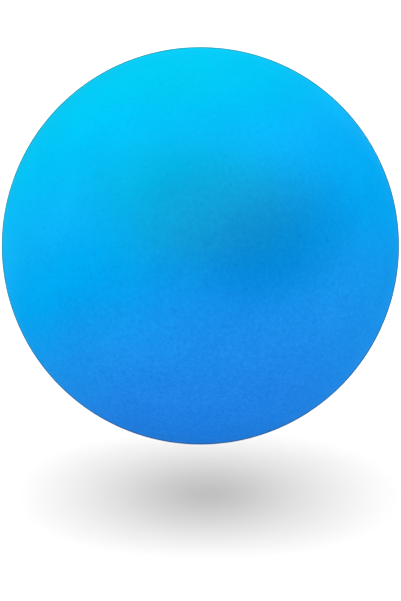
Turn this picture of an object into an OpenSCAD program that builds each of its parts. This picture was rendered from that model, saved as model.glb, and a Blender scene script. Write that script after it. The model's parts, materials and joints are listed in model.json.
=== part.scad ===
// Lacrosse ball of solid rubber: a cured core inside a coloured cover.
// The cover is moulded as two halves that are vulcanised to the core and to
// each other, and the trimmed flash leaves a low bead round their parting line.
// Millimetres, +Z up, origin at the centre of the ball.

/* [Ball] */
// Diameter of the ball over its smooth cover
ball_d = 63.5; // [50:0.1:80]
// Thickness of the coloured cover over the core
cover_t = 4; // [1.5:0.5:15]

/* [Parting line] */
// Width of the bead across both cover halves
bead_w = 0.8; // [0.4:0.1:2]
// Height of the bead above the cover
bead_h = 0.2; // [0.05:0.05:0.2]

/* [Lie] */
// Angle of the moulding axis above the horizontal, towards the front
axis_tilt = 20; // [0:1:90]

/* [Hidden] */
$fn = 160;

ball_r = ball_d / 2;
core_r = ball_r - cover_t;

// The bead is an arc of this radius, as wide as its chord and as high as its rise
bead_arc_r = (pow(bead_w / 2, 2) + pow(bead_h, 2)) / (2 * bead_h);
bead_ring_r = ball_r + bead_h - bead_arc_r;
reach = ball_r + bead_h;

cover_colour = [0.05, 0.62, 0.94];
core_colour = [0.30, 0.31, 0.33];

// Turns the moulding axis from +Z to the way the ball lies, front pole towards -Y
module as_it_lies() {
    rotate([90 - axis_tilt, 0, 0]) children();
}

// Section of one cover half: x is the distance from the moulding axis, y the height above the parting plane
module cover_section() {
    intersection() {
        union() {
            difference() {
                circle(r = ball_r);
                circle(r = core_r);
            }
            translate([bead_ring_r, 0]) circle(r = bead_arc_r);
        }
        square(reach);
    }
}

module cover_half() {
    rotate_extrude() cover_section();
}

module core() {
    color(core_colour) as_it_lies() sphere(r = core_r);
}

module front_cover() {
    color(cover_colour) as_it_lies() cover_half();
}

module rear_cover() {
    color(cover_colour) as_it_lies() mirror([0, 0, 1]) cover_half();
}

core();
front_cover();
rear_cover();
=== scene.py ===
"""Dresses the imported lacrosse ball: two cover halves moulded round a cured core.

Each piece is built again as a fine closed mesh: the cover halves with the skin that a mould leaves and a
trimmed bead along their parting line, the core with its buffed surface. Lengths are in metres, in the
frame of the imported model: +Z up, the ball's centre at the origin, the front towards -Y.
"""

import json
import logging
import math
from abc import ABC, abstractmethod
from collections.abc import Sequence
from dataclasses import dataclass
from enum import Enum
from typing import Any, Self

import bpy
from mathutils import Matrix, Vector, noise

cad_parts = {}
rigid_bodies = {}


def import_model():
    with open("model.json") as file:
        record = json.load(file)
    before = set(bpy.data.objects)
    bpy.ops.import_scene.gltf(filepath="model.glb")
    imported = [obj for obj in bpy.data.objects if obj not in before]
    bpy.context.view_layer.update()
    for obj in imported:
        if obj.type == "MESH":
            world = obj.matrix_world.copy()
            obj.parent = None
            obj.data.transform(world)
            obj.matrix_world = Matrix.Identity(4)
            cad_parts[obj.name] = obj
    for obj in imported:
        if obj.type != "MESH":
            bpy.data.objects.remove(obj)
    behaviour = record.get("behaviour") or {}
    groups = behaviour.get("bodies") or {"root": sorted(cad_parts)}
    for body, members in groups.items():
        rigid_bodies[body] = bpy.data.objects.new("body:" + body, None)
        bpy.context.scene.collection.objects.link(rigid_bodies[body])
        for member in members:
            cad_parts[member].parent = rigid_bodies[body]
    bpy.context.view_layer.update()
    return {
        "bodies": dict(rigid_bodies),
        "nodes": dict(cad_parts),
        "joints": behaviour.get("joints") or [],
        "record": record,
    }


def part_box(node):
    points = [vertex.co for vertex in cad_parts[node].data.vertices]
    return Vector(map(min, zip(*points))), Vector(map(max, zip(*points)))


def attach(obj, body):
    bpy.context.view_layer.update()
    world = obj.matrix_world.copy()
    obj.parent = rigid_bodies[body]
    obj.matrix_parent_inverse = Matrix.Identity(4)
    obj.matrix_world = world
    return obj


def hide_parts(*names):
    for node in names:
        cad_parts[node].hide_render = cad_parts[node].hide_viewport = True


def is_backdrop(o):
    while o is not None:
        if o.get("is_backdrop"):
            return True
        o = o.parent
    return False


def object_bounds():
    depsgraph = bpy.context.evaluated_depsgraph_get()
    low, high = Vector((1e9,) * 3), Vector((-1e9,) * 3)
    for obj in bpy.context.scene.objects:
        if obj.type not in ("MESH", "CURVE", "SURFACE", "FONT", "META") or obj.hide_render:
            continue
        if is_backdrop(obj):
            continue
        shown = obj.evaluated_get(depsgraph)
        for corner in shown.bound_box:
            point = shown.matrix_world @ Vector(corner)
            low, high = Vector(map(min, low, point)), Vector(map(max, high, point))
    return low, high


LOG = logging.getLogger("lacrosse_ball")
MM = 0.001
BODY = "root"
# The core and the seats of the cover halves share one grid, so that neither cuts through the other
CORE_CELLS = 64
# Each layer of a ripple has twice the waves of the layer before it and half the height
RIPPLE_FALL = 1.0
RIPPLE_STEP = 2.0
RIPPLE_LAYERS = 3

Colour = tuple[float, float, float]
Swing = tuple[float, float, float]
Way = tuple[float, float, float]
Face = tuple[int, ...]
Socket = bpy.types.NodeSocket
Feed = Socket | float | Sequence[float]


class Half(Enum):
    """The two cover halves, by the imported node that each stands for."""

    FRONT = "front_cover"
    REAR = "rear_cover"


@dataclass(frozen=True)
class BallSizes:
    """The ball's sizes in metres, and how its moulding axis lies.

    The moulding axis is square to the parting plane. Its front pole points towards -Y, raised by
    axis_tilt degrees. The bead's width can't be read off a box, so the part's own value stands here.
    """

    ball_r: float
    core_r: float
    bead_h: float
    axis_tilt: float
    bead_w: float = 0.8 * MM

    @classmethod
    def from_frame(cls, frame: dict[str, Any]) -> Self:
        """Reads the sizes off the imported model.


        Returns:
            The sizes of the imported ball.
        """
        mounts = {mount["name"]: mount for mount in frame["record"]["mounts"]}
        ball_r = mounts["cup_seat"]["dims"]["r_mm"] * MM
        core_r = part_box("core")[1].x
        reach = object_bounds()[1].x
        # The parting plane leans back, so the front half reaches behind the centre by the tilt's sine
        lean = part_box(Half.FRONT.value)[1].y / reach
        axis_tilt = round(math.degrees(math.asin(lean)))
        return cls(ball_r, core_r, bead_h=reach - ball_r, axis_tilt=axis_tilt)

    def lie(self) -> Matrix:
        """The turn that takes the moulding axis from +Z to the way the ball lies."""
        return Matrix.Rotation(math.radians(90 - self.axis_tilt), 4, "X")


def mirrored(point: Vector) -> Vector:
    """The point on the other side of the parting plane, in the mould's frame."""
    return Vector((point.x, point.y, -point.z))


def ease(value: float) -> float:
    """A smooth step from 0 at value 0 to 1 at value 1."""
    held = min(1.0, max(0.0, value))
    return held * held * (3 - 2 * held)


def ripple(place: Vector, waves: float) -> float:
    """Layered ripples, with that many waves to the unit of place, about -1 to 1."""
    return noise.fractal(place * waves, RIPPLE_FALL, RIPPLE_STEP, RIPPLE_LAYERS)


def wall_between(upper: list[int], lower: list[int]) -> list[Face]:
    """Quads that join two closed loops of as many points.

    Args:
        upper: The loop nearer the pole, counter-clockwise from outside the pole.
        lower: The loop below it, in step with the upper one.

    Returns:
        The quads, facing outwards.
    """
    count = len(upper)
    after = [(k + 1) % count for k in range(count)]
    return [(upper[k], lower[k], lower[n], upper[n]) for k, n in enumerate(after)]


@dataclass
class DomeGrid:
    """Half a sphere of radius 1 above the XY plane, covered evenly with quads that have no pole."""

    points: list[Vector]
    faces: list[Face]
    rim: list[int]

    @classmethod
    def from_half_cube(cls, cells: int) -> Self:
        """Rounds the upper half of a cube into a dome.

        Args:
            cells: Quads along one edge of the cube, an even number.

        Returns:
            The dome, with its rim as a loop of points in the XY plane, counter-clockwise from above.
        """
        lines = [math.tan((2 * i / cells - 1) * math.pi / 4) for i in range(cells + 1)]
        row = cells + 1
        points = [Vector((x, y, 1.0)).normalized() for y in lines for x in lines]
        starts = [j * row + i for j in range(cells) for i in range(cells)]
        faces: list[Face] = [(at, at + 1, at + 1 + row, at + row) for at in starts]
        around = [(i, 0) for i in range(cells)]
        around += [(cells, j) for j in range(cells)]
        around += [(cells - i, cells) for i in range(cells)]
        around += [(0, cells - j) for j in range(cells)]
        loop = [j * row + i for i, j in around]
        for height in reversed(lines[cells // 2 : cells]):
            lower = list(range(len(points), len(points) + len(around)))
            points += [Vector((lines[i], lines[j], height)).normalized() for i, j in around]
            faces += wall_between(loop, lower)
            loop = lower
        return cls(points, faces, loop)

    def whole_sphere(self) -> tuple[list[Vector], list[Face]]:
        """Closes the dome with its mirror image.

        Returns:
            The points and faces of the sphere, whose halves share the rim.
        """
        points = list(self.points)
        twin = {k: k for k in self.rim}
        for k, point in enumerate(self.points):
            if k not in twin:
                twin[k] = len(points)
                points.append(mirrored(point))
        below = [tuple(twin[k] for k in reversed(face)) for face in self.faces]
        return points, self.faces + below


@dataclass
class BallPiece(ABC):
    """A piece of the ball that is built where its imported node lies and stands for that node."""

    sizes: BallSizes

    def place(self, points: list[Vector], faces: list[Face], node: str, slot: str) -> bpy.types.Object:
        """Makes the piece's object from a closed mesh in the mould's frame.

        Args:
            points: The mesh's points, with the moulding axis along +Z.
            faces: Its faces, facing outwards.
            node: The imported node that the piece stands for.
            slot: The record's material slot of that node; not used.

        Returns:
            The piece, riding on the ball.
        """
        lie = self.sizes.lie()
        name = node + "_rubber"
        mesh = bpy.data.meshes.new(name)
        mesh.from_pydata([lie @ p for p in points], [], faces)
        mesh.shade_smooth()
        piece = bpy.data.objects.new(name, mesh)
        bpy.context.scene.collection.objects.link(piece)
        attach(piece, BODY)
        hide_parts(node)
        return piece

    @abstractmethod
    def build(self) -> bpy.types.Object:
        """Makes the piece; each kind of piece has its own way."""

    def dress(self, piece: bpy.types.Object, rubber: bpy.types.Material) -> None:
        """Gives the built piece its rubber, and keeps its colour from bouncing onto the floor."""
        piece.data.materials.append(rubber)
        piece.visible_diffuse = False


@dataclass
class CoverHalf(BallPiece):
    """One half of the moulded cover: its skin, half of the bead, the parting face and the core's seat.

    The mould leaves a fine peel on the skin, which fades out on the way to the bead. Trimming the bead
    took off up to trim_share of its height. Edges of more than sharp_angle degrees stay sharp.
    """

    half: Half
    skin_cells: int = 128
    seat_cells: int = CORE_CELLS
    bead_rings: int = 8
    peel_h: float = 0.012 * MM
    peel_spacing: float = 2.4 * MM
    peel_fade: float = 1.5 * MM
    trim_share: float = 0.12
    trim_spacing: float = 6 * MM
    sharp_angle: float = 50.0

    def build(self) -> bpy.types.Object:
        """Makes the closed mesh of the half.

        Returns:
            The half, in place.
        """
        skin = DomeGrid.from_half_cube(self.skin_cells)
        points = [self._skin_point(p) for p in skin.points]
        faces = list(skin.faces)
        loop = skin.rim
        ways_out = [skin.points[k] for k in skin.rim]
        for ring in range(1, self.bead_rings + 1):
            lower = list(range(len(points), len(points) + len(loop)))
            points += [self._bead_point(way, 1 - ring / self.bead_rings) for way in ways_out]
            faces += wall_between(loop, lower)
            loop = lower
        seat = DomeGrid.from_half_cube(self.seat_cells)
        first = len(points)
        points += [p * self.sizes.core_r for p in seat.points]
        faces += [tuple(first + k for k in reversed(face)) for face in seat.faces]
        faces += self._parting_face(loop, [first + k for k in seat.rim])
        if self.half is Half.REAR:
            points = [mirrored(p) for p in points]
            faces = [tuple(reversed(face)) for face in faces]
        piece = self.place(points, faces, self.half.value, "cover_rubber")
        piece.data.set_sharp_from_angle(angle=math.radians(self.sharp_angle))
        return piece

    def _skin_point(self, direction: Vector) -> Vector:
        """Lays a point of the dome on the cover's skin, between the pole and the foot of the bead.

        Args:
            direction: The point on a dome of radius 1.

        Returns:
            The point on the skin, raised or sunk by the mould's fine peel.
        """
        foot = math.acos(self.sizes.bead_w / 2 / self.sizes.ball_r)
        polar = math.acos(min(1.0, direction.z)) * foot / (math.pi / 2)
        level = Vector((direction.x, direction.y, 0.0))
        if level.length > 0:
            level.normalize()
        way = level * math.sin(polar) + Vector((0, 0, math.cos(polar)))
        as_moulded = way if self.half is Half.FRONT else mirrored(way)
        fade = ease((foot - polar) * self.sizes.ball_r / self.peel_fade)
        peel = ripple(as_moulded, self.sizes.ball_r / self.peel_spacing)
        return way * (self.sizes.ball_r + self.peel_h * fade * peel)

    def _bead_point(self, way: Vector, share: float) -> Vector:
        """A point on the bead, whose crest was trimmed by hand and so wanders a little.

        Args:
            way: The level way out to the point, of length 1.
            share: Distance from the parting plane as a share of half the bead's width.

        Returns:
            The point on the bead.
        """
        wander = ripple(way, self.sizes.ball_r / self.trim_spacing)
        trimmed = self.trim_share * (0.5 + 0.5 * wander)
        rise = self.sizes.bead_h * (1 - trimmed) * (0.5 + 0.5 * math.cos(math.pi * share))
        z = share * self.sizes.bead_w / 2
        radius = math.sqrt(self.sizes.ball_r**2 - z * z) + rise
        return Vector((way.x * radius, way.y * radius, z))

    def _parting_face(self, crest: list[int], seat_rim: list[int]) -> list[Face]:
        """The flat face where the halves meet, as one strip of polygons between two loops.

        Args:
            crest: The loop along the bead's crest.
            seat_rim: The coarser loop along the rim of the core's seat, in step with it.

        Returns:
            The polygons, facing away from the pole.
        """
        ratio = len(crest) // len(seat_rim)
        faces: list[Face] = []
        for k, inner in enumerate(seat_rim):
            outer = [crest[(k * ratio + step) % len(crest)] for step in range(ratio + 1)]
            following = seat_rim[(k + 1) % len(seat_rim)]
            faces.append((*reversed(outer), inner, following))
        return faces


@dataclass
class Core(BallPiece):
    """The cured centre, buffed all over, down to buff_depth at most, so that the cover bonds to it."""

    cells: int = CORE_CELLS
    buff_depth: float = 0.03 * MM
    buff_spacing: float = 1.6 * MM

    def build(self) -> bpy.types.Object:
        """Makes the closed mesh of the core.

        Returns:
            The core, in place.
        """
        directions, faces = DomeGrid.from_half_cube(self.cells).whole_sphere()
        points = [self._buffed_point(direction) for direction in directions]
        return self.place(points, faces, "core", "core_rubber")

    def _buffed_point(self, direction: Vector) -> Vector:
        """A point on the core, sunk a little where the buffing wheel went deeper.

        Args:
            direction: The point on a sphere of radius 1.

        Returns:
            The point, nowhere outside the cover's seat.
        """
        cut = ripple(direction, self.sizes.core_r / self.buff_spacing)
        depth = self.buff_depth * (0.5 + 0.5 * max(-1.0, min(1.0, cut)))
        return direction * (self.sizes.core_r - depth)


class NodeBoard:
    """A shader node tree that is being laid out, with a short call for each kind of node."""

    # A mix node repeats the names of its sockets, so those for colours go by number
    MIX_FACTOR = 0
    MIX_BELOW = 6
    MIX_ABOVE = 7
    MIX_RESULT = 2

    def __init__(self, tree: bpy.types.NodeTree) -> None:
        """Starts on the emptied node tree of a material, a world or a group."""
        self.tree = tree
        tree.nodes.clear()

    def add(
        self, kind: str, feeds: dict[str | int, Feed] | None = None, **options: Any
    ) -> bpy.types.Node:
        """Adds a node, sets its options and feeds its inputs.

        Args:
            kind: Blender's name for the type of node.
            feeds: For each input, by name or number, a value or the output that is joined to it.
            **options: The node's own settings.

        Returns:
            The new node.
        """
        node = self.tree.nodes.new(kind)
        for name, value in options.items():
            setattr(node, name, value)
        for name, value in (feeds or {}).items():
            if isinstance(value, Socket):
                self.tree.links.new(value, node.inputs[name])
            else:
                node.inputs[name].default_value = value
        return node

    def math(self, operation: str, *values: Feed) -> Socket:
        """Adds a Math node for that operation on the values."""
        return self.add("ShaderNodeMath", dict(enumerate(values)), operation=operation).outputs[0]

    def vector(self, operation: str, *vectors: Feed) -> bpy.types.Node:
        """Adds a Vector Math node for that operation on the vectors."""
        return self.add("ShaderNodeVectorMath", dict(enumerate(vectors)), operation=operation)

    def dot(self, vector: Feed, other: Feed) -> Socket:
        """Adds a dot product."""
        return self.vector("DOT_PRODUCT", vector, other).outputs["Value"]

    def noise(self, place: Socket, scale: Feed, detail: float, roughness: float = 0.5) -> Socket:
        """Adds a noise texture with that many clouds to the unit of place, about -0.5 to 0.5."""
        feeds = {"Vector": place, "Scale": scale, "Detail": detail, "Roughness": roughness}
        return self.math("SUBTRACT", self.add("ShaderNodeTexNoise", feeds).outputs["Fac"], 0.5)

    def step(self, value: Feed, start: float, end: float, low: float = 0.0, high: float = 1.0) -> Socket:
        """Adds a smooth step, from low where the value is at start to high where it is at end."""
        feeds = {"Value": value, "From Min": start, "From Max": end, "To Min": low, "To Max": high}
        return self.add("ShaderNodeMapRange", feeds, interpolation_type="SMOOTHSTEP").outputs["Result"]

    def mix(self, blend: str, factor: Feed, below: Feed, above: Feed) -> Socket:
        """Adds a colour mix.

        Args:
            blend: Blender's name for the way of mixing.
            factor: How much of the colour above counts.
            below: The colour below.
            above: The colour above.

        Returns:
            The mixed colour.
        """
        feeds = {self.MIX_FACTOR: factor, self.MIX_BELOW: below, self.MIX_ABOVE: above}
        node = self.add("ShaderNodeMix", feeds, data_type="RGBA", blend_type=blend)
        return node.outputs[self.MIX_RESULT]

    def mix_shaders(self, factor: Feed, first: bpy.types.Node, second: bpy.types.Node) -> Socket:
        """Adds a mix of two shaders, the first where the factor is 0 and the second where it is 1."""
        feeds = {0: factor, 1: first.outputs[0], 2: second.outputs[0]}
        return self.add("ShaderNodeMixShader", feeds).outputs["Shader"]


def opaque(colour: Colour) -> tuple[float, float, float, float]:
    """The colour as a colour socket takes it."""
    return (*colour, 1.0)


def start_group(
    name: str, inputs: dict[str, str], outputs: dict[str, str]
) -> tuple[NodeBoard, bpy.types.Node]:
    """Starts a node group with its sockets.

    Args:
        name: The group's name.
        inputs: The type of each input socket, by name.
        outputs: The type of each output socket, by name.

    Returns:
        The group's board and its input node.
    """
    tree = bpy.data.node_groups.new(name, "ShaderNodeTree")
    for in_out, sockets in (("INPUT", inputs), ("OUTPUT", outputs)):
        for socket, kind in sockets.items():
            tree.interface.new_socket(name=socket, in_out=in_out, socket_type=kind)
    board = NodeBoard(tree)
    return board, board.add("NodeGroupInput")


@dataclass(frozen=True)
class MouldGrain:
    """What a blasted mould leaves on rubber: fine round grains on a shallow swell, and a few open pits.

    The swells and pits are counted per grain. Heights are in grain heights, and the edge and the floor
    of a pit are distances from its middle, in spacings of the pits.
    """

    swells: float = 0.22
    swell_h: float = 0.8
    pits: float = 0.5
    pit_edge: float = 0.32
    pit_floor: float = 0.08
    pit_depth: float = 0.35

    def group(self) -> bpy.types.NodeTree:
        """Builds the node group.

        Returns:
            The group, from a position and the grain's size to a height and a mask of its pits.
        """
        board, given = start_group(
            "mould_grain",
            {"Position": "NodeSocketVector", "Grains per Metre": "NodeSocketFloat"},
            {"Height": "NodeSocketFloat", "Pits": "NodeSocketFloat"},
        )
        place = given.outputs["Position"]
        per_metre = given.outputs["Grains per Metre"]
        grains = board.noise(place, per_metre, detail=2.0, roughness=0.55)
        swells_per_metre = board.math("MULTIPLY", per_metre, self.swells)
        swell = board.noise(place, swells_per_metre, detail=3.0, roughness=0.6)
        height = board.math("MULTIPLY_ADD", swell, self.swell_h, grains)
        feeds = {"Vector": place, "Scale": board.math("MULTIPLY", per_metre, self.pits)}
        cells = board.add("ShaderNodeTexVoronoi", feeds, feature="SMOOTH_F1")
        pits = board.step(cells.outputs["Distance"], self.pit_edge, self.pit_floor)
        sunk = board.math("MULTIPLY_ADD", pits, -self.pit_depth, height)
        board.add("NodeGroupOutput", {"Height": sunk, "Pits": pits})
        return board.tree


@dataclass(frozen=True)
class PigmentMottle:
    """Pigment that isn't mixed in quite evenly: broad clouds and a fine speckle of light and dark."""

    clouds_per_metre: float = 110.0
    specks_per_metre: float = 1900.0

    def group(self) -> bpy.types.NodeTree:
        """Builds the node group.

        Returns:
            The group, from a position, a colour and how far each of its channels swings in the clouds
            and in the speckle, to the mottled colour.
        """
        board, given = start_group(
            "pigment_mottle",
            {"Position": "NodeSocketVector", "Colour": "NodeSocketColor", "Clouds": "NodeSocketVector",
             "Speckle": "NodeSocketVector"},
            {"Colour": "NodeSocketColor"},
        )
        place = given.outputs["Position"]
        clouds = board.noise(place, self.clouds_per_metre, detail=4.0, roughness=0.55)
        specks = board.noise(place, self.specks_per_metre, detail=1.0)
        swing: Feed = (1.0, 1.0, 1.0)
        for wave, amount in ((clouds, "Clouds"), (specks, "Speckle")):
            swing = board.vector("MULTIPLY_ADD", given.outputs[amount], wave, swing).outputs["Vector"]
        mottled = board.vector("MULTIPLY", given.outputs["Colour"], swing)
        board.add("NodeGroupOutput", {"Colour": mottled.outputs["Vector"]})
        return board.tree


@dataclass(frozen=True)
class Colouring:
    """A rubber's colouring at each place: its colour, with any painted light and shade, and how far the
    speckle swings each channel.
    """

    colour: Socket
    speckle: Feed


@dataclass(frozen=True, kw_only=True)
class Rubber(ABC):
    """What both rubbers of the ball share: mould grain, uneven pigment and a dull surface.

    The clouds and the speckle are how far each channel of the colour swings in them. The roughness runs
    from its first value at polished_height to its second at dull_height, both in grain heights.
    """

    name: str
    grain: bpy.types.NodeTree
    mottle: bpy.types.NodeTree
    grains_per_metre: float
    grain_h: float
    clouds: Swing
    speckle: Swing
    painted_pit_shade: Colour = (0.95, 0.95, 0.95)
    roughness: tuple[float, float] = (0.72, 0.90)
    polished_height: float = -0.3
    dull_height: float = 0.2
    specular_level: float = 0.2

    def material(self) -> bpy.types.Material:
        """Builds the material.

        Returns:
            The rubber.
        """
        made = bpy.data.materials.new(self.name)
        made.use_nodes = True
        board = NodeBoard(made.node_tree)
        position = board.add("ShaderNodeTexCoord").outputs["Object"]
        grain = board.add(
            "ShaderNodeGroup",
            {"Position": position, "Grains per Metre": self.grains_per_metre},
            node_tree=self.grain,
        ).outputs
        colouring = self.colouring(board, position)
        mottled = board.add(
            "ShaderNodeGroup",
            {"Position": position, "Colour": colouring.colour, "Clouds": self.clouds,
             "Speckle": colouring.speckle},
            node_tree=self.mottle,
        ).outputs
        # Painted shade: the colour is darkened a little in the pits
        colour = board.mix("MULTIPLY", grain["Pits"], mottled["Colour"], opaque(self.painted_pit_shade))
        roughness = board.step(grain["Height"], self.polished_height, self.dull_height, *self.roughness)
        bump = board.add("ShaderNodeBump", {"Distance": self.grain_h, "Height": grain["Height"]})
        shader = board.add(
            "ShaderNodeBsdfPrincipled",
            {"Base Color": colour, "Roughness": roughness, "Normal": bump.outputs["Normal"],
             "Specular IOR Level": self.specular_level},
        )
        board.add("ShaderNodeOutputMaterial", {"Surface": shader.outputs["BSDF"]})
        return made

    @abstractmethod
    def colouring(self, board: NodeBoard, position: Socket) -> Colouring:
        """Lays out the rubber's colouring before its mottle; each rubber has its own."""


@dataclass(frozen=True)
class DriftStop:
    """One colour of a drift, and its place from -1 at the drift's low end to 1 at its high end."""

    place: float
    colour: Colour


@dataclass(frozen=True)
class PaintedLightDrift:
    """Painted top light: colour that drifts from darker azure at the ball's bottom to lighter cyan at its
    top.

    The drift follows its way in the mould's frame, on bands that fan out to one side, and it wanders a
    little in clouds, which are counted to the ball radius.
    """

    way: Way = (-0.26, 0.75, -0.22)
    fan: float = 0.28
    stops: tuple[DriftStop, ...] = (
        DriftStop(-0.95, (0.013, 0.21, 0.80)),
        DriftStop(-0.60, (0.013, 0.265, 0.855)),
        DriftStop(-0.20, (0.000, 0.385, 0.91)),
        DriftStop(0.10, (0.003, 0.46, 0.955)),
        DriftStop(0.50, (0.000, 0.54, 0.925)),
        DriftStop(0.90, (0.000, 0.56, 0.85)),
    )
    wander: float = 0.10
    wander_clouds: float = 2.2

    def along(self, board: NodeBoard, place: Socket) -> Socket:
        """Measures how far along the drift a place lies.

        Args:
            board: The material's board.
            place: The place in the mould's frame, in ball radii.

        Returns:
            The distance, about -1 at the azure end to 1 at the cyan end.
        """
        axes = board.add("ShaderNodeSeparateXYZ", {"Vector": place}).outputs
        fan = board.math("MULTIPLY", board.math("MULTIPLY", axes["X"], axes["Y"]), self.fan)
        return board.math("SUBTRACT", board.dot(place, self.way), fan)

    def colour(self, board: NodeBoard, place: Socket, along: Socket) -> Socket:
        """Lays out the pigment's colour.

        Args:
            board: The material's board.
            place: The place in the mould's frame, in ball radii.
            Lays out the colour of the painted top light.

        Returns:
            The colour.
        """
        clouds = board.noise(place, self.wander_clouds, detail=2.0)
        wandering = board.math("MULTIPLY_ADD", clouds, self.wander, along)
        # The drift runs from -1 to 1, and the ramp that colours it from 0 to 1
        on_ramp = board.math("MULTIPLY_ADD", wandering, 0.5, 0.5)
        ramp = board.add("ShaderNodeValToRGB", {"Fac": on_ramp})
        ramp.color_ramp.interpolation = "CARDINAL"
        elements = ramp.color_ramp.elements
        while len(elements) < len(self.stops):
            elements.new(1.0)
        for element, stop in zip(elements, self.stops):
            element.position = (stop.place + 1) / 2
            element.color = opaque(stop.colour)
        return ramp.outputs["Color"]


@dataclass(frozen=True)
class SoftOval:
    """An oval with a soft edge on the front of the cover.

    Its centre and reach are in ball radii, to the right and up over the front, and its turn is in
    degrees. full_within and gone_beyond are shares of its reach.
    """

    centre: tuple[float, float]
    reach: tuple[float, float]
    turn: float = 0.0
    full_within: float = 0.2
    gone_beyond: float = 1.15

    def mask(self, board: NodeBoard, place: Socket) -> Socket:
        """Masks the oval.

        Args:
            board: The material's board.
            place: The place in the mould's frame, in ball radii.

        Returns:
            The mask, 1 in the middle of the oval.
        """
        feeds = {
            "Vector": board.vector("MULTIPLY", place, (1.0, 1.0, 0.0)).outputs["Vector"],
            "Location": (*self.centre, 0.0),
            "Rotation": (0.0, 0.0, math.radians(self.turn)),
            "Scale": (*self.reach, 1.0),
        }
        within = board.add("ShaderNodeMapping", feeds, vector_type="TEXTURE").outputs["Vector"]
        away = board.vector("LENGTH", within).outputs["Value"]
        oval = board.step(away, self.gone_beyond, self.full_within)
        front = board.math("GREATER_THAN", board.dot(place, (0.0, 0.0, 1.0)), 0.0)
        return board.math("MULTIPLY", oval, front)


@dataclass(frozen=True)
class TonePatch:
    """An oval of another tone, for places that handling has rubbed and for a patch of painted top light.
    """

    oval: SoftOval
    tint: Colour


@dataclass(frozen=True)
class Bloom:
    """Wax that has come to the surface of the rubber and lies on it as a faint grey haze.

    The share is how much of the haze's colour shows in the middle of its oval.
    """

    oval: SoftOval = SoftOval((0.15, 0.155), (0.72, 0.30), 21.0)
    colour: Colour = (0.45, 0.45, 0.45)
    share: float = 0.011


@dataclass(frozen=True)
class BeadGrimeAndShade:
    """Dirt and painted shade on the flanks of the parting bead, thicker in clouds, that stay off the
    crest, as wear would clean it.

    It sets in over the edge, and wears off again over the crest. Both are distances from the parting
    plane, in half bead widths. The clouds are counted to the ball radius.
    """

    tint: Colour = (1.0, 0.50, 0.42)
    edge: tuple[float, float] = (0.95, 0.75)
    crest: tuple[float, float] = (0.32, 0.12)
    crest_wear: float = 0.85
    clouds: float = 9.0
    cloud_swing: float = 0.9

    def mask(self, board: NodeBoard, place: Socket, half_width: float) -> Socket:
        """Masks the grime and painted shade.

        Args:
            board: The material's board.
            place: The place in the mould's frame, in ball radii.
            half_width: Half the bead's width, in ball radii.

        Returns:
            The mask, 1 where the grime and painted shade are thickest.
        """
        off_plane = board.math("ABSOLUTE", board.dot(place, (0.0, 0.0, 1 / half_width)))
        flanks = board.step(off_plane, *self.edge)
        worn = board.step(off_plane, *self.crest, high=self.crest_wear)
        clouds = board.noise(place, self.clouds, detail=3.0, roughness=0.6)
        thickness = board.math("MULTIPLY_ADD", clouds, self.cloud_swing, 1.0)
        grime_and_shade = board.math("MULTIPLY", board.math("SUBTRACT", flanks, worn), thickness)
        return board.math("MINIMUM", grime_and_shade, 1.0)


@dataclass(frozen=True, kw_only=True)
class CoverRubber(Rubber):
    """Matte blue cover rubber. Its speckle fades along the drift, until only a share of it is left."""

    sizes: BallSizes
    name: str = "blue_cover_rubber"
    grains_per_metre: float = 2000.0
    grain_h: float = 0.030 * MM
    clouds: Swing = (0.5, 0.15, 0.11)
    speckle: Swing = (1.6, 0.40, 0.12)
    speckle_fade: tuple[float, float] = (-0.8, 0.5)
    speckle_left: float = 0.15
    specular_level: float = 0.004
    drift: PaintedLightDrift = PaintedLightDrift()
    tone_patches: tuple[TonePatch, ...] = (
        TonePatch(SoftOval((0.05, 0.175), (0.75, 0.455), -13.0), (0.36, 0.945, 0.765)),
        TonePatch(SoftOval((0.01, -0.04), (0.41, 0.49)), (0.95, 0.89, 0.98)),
        TonePatch(SoftOval((0.37, 0.04), (0.49, 0.37), 49.0), (0.46, 0.805, 0.935)),
        # Painted top light: this oval at the top of the front tunes the tone of the painted top light
        # there
        TonePatch(SoftOval((0.12, 0.78), (0.71, 0.26)), (0.20, 1.0, 0.91)),
    )
    bloom: Bloom = Bloom()
    grime_and_shade: BeadGrimeAndShade = BeadGrimeAndShade()

    def colouring(self, board: NodeBoard, position: Socket) -> Colouring:
        """Lays out the blue with painted top light, toned patches, bloom, painted shade and dirt on the
        bead, fading speckle.

        Args:
            board: The material's board.
            position: The position in the object's frame.

        Returns:
            The colouring, with its painted top light and painted shade.
        """
        place = self._mould_place(board, position)
        # Painted top light: lighter cyan towards the top of the ball, darker azure towards the bottom
        along = self.drift.along(board, place)
        colour = self.drift.colour(board, place, along)
        for patch in self.tone_patches:
            colour = board.mix("MULTIPLY", patch.oval.mask(board, place), colour, opaque(patch.tint))
        haze = board.math("MULTIPLY", self.bloom.oval.mask(board, place), self.bloom.share)
        colour = board.mix("MIX", haze, colour, opaque(self.bloom.colour))
        # Dirt and painted shade on the bead's flanks, for its relief and a dark line round the ball's
        # outline
        grime_and_shade = self.grime_and_shade.mask(board, place, self.sizes.bead_w / 2 / self.sizes.ball_r)
        colour = board.mix("MULTIPLY", grime_and_shade, colour, opaque(self.grime_and_shade.tint))
        left = board.step(along, *self.speckle_fade, low=1.0, high=self.speckle_left)
        return Colouring(colour, board.vector("MULTIPLY", self.speckle, left).outputs["Vector"])

    def _mould_place(self, board: NodeBoard, position: Socket) -> Socket:
        """Turns a position into the mould's own frame, in ball radii.

        Args:
            board: The material's board.
            position: The position in the object's frame.

        Returns:
            The place: X to the right and Y up over the front of the ball, Z along the moulding axis.
        """
        turn = self.sizes.lie().inverted().to_euler()
        feeds = {"Vector": position, "Rotation": turn, "Scale": (1 / self.sizes.ball_r,) * 3}
        return board.add("ShaderNodeMapping", feeds).outputs["Vector"]


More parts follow.
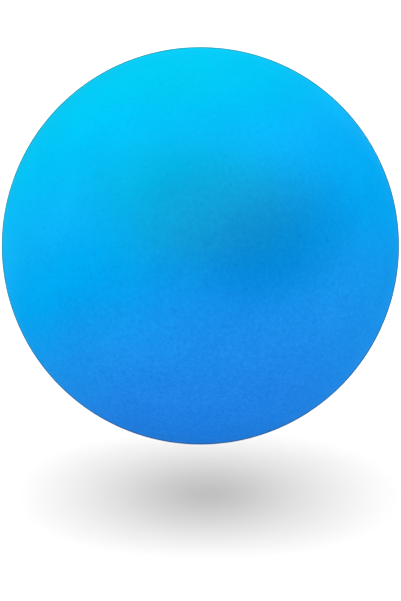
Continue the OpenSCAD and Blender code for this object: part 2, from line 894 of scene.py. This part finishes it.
@dataclass(frozen=True, kw_only=True)
class CoreRubber(Rubber):
    """Dark grey core rubber, with crumbs of reclaimed rubber in it."""

    name: str = "grey_core_rubber"
    grains_per_metre: float = 1500.0
    grain_h: float = 0.05 * MM
    clouds: Swing = (0.3, 0.3, 0.3)
    speckle: Swing = (0.3, 0.3, 0.3)
    base: Colour = (0.075, 0.080, 0.088)
    crumb: Colour = (0.030, 0.031, 0.034)
    crumbs_per_metre: float = 900.0
    crumb_edge: float = 0.36
    crumb_full: float = 0.24

    def colouring(self, board: NodeBoard, position: Socket) -> Colouring:
        """Lays out the grey with its dark crumbs.

        Args:
            board: The material's board.
            position: The position in the object's frame.

        Returns:
            The colouring, with the same speckle all over.
        """
        cells = board.add("ShaderNodeTexVoronoi", {"Vector": position, "Scale": self.crumbs_per_metre})
        crumbs = board.step(cells.outputs["Distance"], self.crumb_edge, self.crumb_full)
        return Colouring(board.mix("MIX", crumbs, opaque(self.base), opaque(self.crumb)), self.speckle)


@dataclass(frozen=True)
class Framing:
    """Where the photograph shows the ball, in pixels: its centre, and how far it reaches from there."""

    frame_w: float = 401.0
    frame_h: float = 601.0
    ball_x: float = 200.4
    ball_y: float = 245.8
    ball_reach: float = 198.85


class Lights(Enum):
    """What a lamp shines on."""

    EVERYTHING = "everything"
    FLOOR = "floor"


@dataclass(frozen=True)
class SoftLamp:
    """A broad white lamp, far off, by where it stands, how wide it looks and how much light it gives.

    Its angles are in degrees. The light is what a white surface square to the lamp gives back, where 1
    is white.
    """

    name: str
    azimuth: float
    elevation: float
    spread: float
    light: float
    lights: Lights = Lights.EVERYTHING


@dataclass
class Studio:
    """The stage: a pale floor under the ball, soft lamps, a white surround and the camera.

    The floor shows as floor_white and lights the ball from below as floor_bounce. The lamps for the
    floor alone make it white and shape the ball's shadow.
    """

    sizes: BallSizes
    framing: Framing = Framing()
    camera_distance: float = 800 * MM
    camera_elevation: float = 20.0
    sensor_mm: float = 36.0
    near: float = 10 * MM
    far: float = 20.0
    hover: float = 11.5 * MM
    floor_half: float = 3.0
    floor_white: Colour = (0.69, 0.69, 0.69)
    floor_bounce: Colour = (0.55, 0.55, 0.55)
    surround: float = 0.62
    lamps: tuple[SoftLamp, ...] = (
        SoftLamp("top_lamp", -90.0, 88.0, 100.0, 0.46),
        SoftLamp("front_lamp", 0.0, 20.0, 90.0, 0.05),
        SoftLamp("floor_lamp", -90.0, 87.0, 96.0, 0.67, Lights.FLOOR),
        SoftLamp("left_floor_lamp", -90.0, 47.0, 35.0, 0.16, Lights.FLOOR),
        SoftLamp("right_floor_lamp", 90.0, 47.0, 35.0, 0.16, Lights.FLOOR),
    )

    def build(self) -> None:
        """Makes the camera, the floor, the lamps and the surround."""
        self._camera()
        floor = self._floor()
        for lamp in self.lamps:
            self._lamp(lamp, floor)
        self._surround()
        bpy.context.scene.view_settings.view_transform = "Standard"

    @staticmethod
    def _way_to(azimuth: float, elevation: float) -> Vector:
        """The direction from the ball to a stand.

        Args:
            azimuth: Degrees from -Y towards +X.
            elevation: Degrees above the horizontal.

        Returns:
            The direction, of length 1.
        """
        turn = math.radians(azimuth)
        rise = math.radians(elevation)
        return Vector((math.sin(turn) * math.cos(rise), -math.cos(turn) * math.cos(rise), math.sin(rise)))

    def _camera(self) -> None:
        """Stands the camera off and aims it so that the ball falls where the photograph shows it."""
        seen = self.framing
        back = self._way_to(0.0, self.camera_elevation)
        reach = self.sizes.ball_r + self.sizes.bead_h
        pixels_per_slope = seen.ball_reach * self.camera_distance / reach
        data = bpy.data.cameras.new("camera")
        data.sensor_width = self.sensor_mm
        data.lens = self.sensor_mm * pixels_per_slope / max(seen.frame_w, seen.frame_h)
        data.clip_start = self.near
        data.clip_end = self.far
        turn = (-back).to_track_quat("-Z", "Y")
        metres_per_pixel = self.camera_distance / pixels_per_slope
        right = turn @ Vector((1, 0, 0)) * (seen.frame_w / 2 - seen.ball_x) * metres_per_pixel
        up = turn @ Vector((0, 1, 0)) * (seen.ball_y - seen.frame_h / 2) * metres_per_pixel
        camera = bpy.data.objects.new("camera", data)
        camera.rotation_mode = "QUATERNION"
        camera.location = back * self.camera_distance
        camera.rotation_quaternion = (right + up - camera.location).to_track_quat("-Z", "Y")
        bpy.context.scene.collection.objects.link(camera)
        bpy.context.scene.camera = camera

    def _floor(self) -> bpy.types.Object:
        """Lays the floor a little below the ball, which hangs clear of it.

        Returns:
            The floor.
        """
        z = -self.sizes.ball_r - self.hover
        half = self.floor_half
        corners = [(-half, -half, z), (half, -half, z), (half, half, z), (-half, half, z)]
        mesh = bpy.data.meshes.new("floor")
        mesh.from_pydata(corners, [], [(0, 1, 2, 3)])
        mesh.materials.append(self._floor_paper())
        floor = bpy.data.objects.new("floor", mesh)
        bpy.context.scene.collection.objects.link(floor)
        floor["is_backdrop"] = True
        return floor

    @staticmethod
    def _shown(board: NodeBoard) -> Socket:
        """Where a ray shows the stage itself, directly, in a reflection or through something clear.

        Args:
            board: The board of the stage's material or of the world.

        Returns:
            The mask, 1 for such a ray and 0 for one that only carries light.
        """
        path = board.add("ShaderNodeLightPath").outputs
        shown = board.math("MAXIMUM", path["Is Camera Ray"], path["Is Glossy Ray"])
        return board.math("MAXIMUM", shown, path["Is Transmission Ray"])

    def _floor_paper(self) -> bpy.types.Material:
        """White paper that shows from above only, so that views from below look through it.

        Returns:
            The floor's material.
        """
        made = bpy.data.materials.new("floor_paper")
        made.use_nodes = True
        board = NodeBoard(made.node_tree)
        shade = board.mix("MIX", self._shown(board), opaque(self.floor_bounce), opaque(self.floor_white))
        paper = board.add("ShaderNodeBsdfDiffuse", {"Color": shade})
        clear = board.add("ShaderNodeBsdfTransparent")
        below = board.add("ShaderNodeNewGeometry").outputs["Backfacing"]
        board.add("ShaderNodeOutputMaterial", {"Surface": board.mix_shaders(below, paper, clear)})
        return made

    def _lamp(self, lamp: SoftLamp, floor: bpy.types.Object) -> None:
        """Hangs one lamp.

        Args:
            lamp: Where it stands and what it gives.
            floor: What a lamp for the floor alone shines on.
        """
        data = bpy.data.lights.new(lamp.name, "SUN")
        # A lamp of strength pi makes a white surface that is square to it give back 1
        data.energy = lamp.light * math.pi
        data.angle = math.radians(lamp.spread)
        data.cycles.use_multiple_importance_sampling = False
        hung = bpy.data.objects.new(lamp.name, data)
        hung.rotation_mode = "QUATERNION"
        way = self._way_to(lamp.azimuth, lamp.elevation)
        hung.rotation_quaternion = (-way).to_track_quat("-Z", "Y")
        bpy.context.scene.collection.objects.link(hung)
        if lamp.lights is Lights.FLOOR:
            lit = bpy.data.collections.new("lit_by_" + lamp.name)
            lit.objects.link(floor)
            hung.light_linking.receiver_collection = lit

    def _surround(self) -> None:
        """White all round to the camera and in reflections, and a softer light on the ball."""
        world = bpy.data.worlds.new("surround")
        world.use_nodes = True
        board = NodeBoard(world.node_tree)
        white = opaque((1.0, 1.0, 1.0))
        soft = board.add("ShaderNodeBackground", {"Color": white, "Strength": self.surround})
        full = board.add("ShaderNodeBackground", {"Color": white, "Strength": 1.0})
        mixed = board.mix_shaders(self._shown(board), soft, full)
        board.add("ShaderNodeOutputWorld", {"Surface": mixed})
        bpy.context.scene.world = world


def main() -> None:
    """Builds and dresses the ball, then sets the stage."""
    logging.basicConfig(level=logging.INFO, format="%(name)s: %(message)s")
    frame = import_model()
    sizes = BallSizes.from_frame(frame)
    grain = MouldGrain().group()
    mottle = PigmentMottle().group()
    cover_rubber = CoverRubber(sizes=sizes, grain=grain, mottle=mottle).material()
    core_rubber = CoreRubber(grain=grain, mottle=mottle).material()
    pieces: list[tuple[BallPiece, bpy.types.Material]] = [
        (CoverHalf(sizes, Half.FRONT), cover_rubber),
        (CoverHalf(sizes, Half.REAR), cover_rubber),
        (Core(sizes), core_rubber),
    ]
    for piece, rubber in pieces:
        built = piece.build()
        piece.dress(built, rubber)
        LOG.info("%s: %d faces, %s", built.name, len(built.data.polygons), rubber.name)
    Studio(sizes).build()


if __name__ == "__main__":
    main()
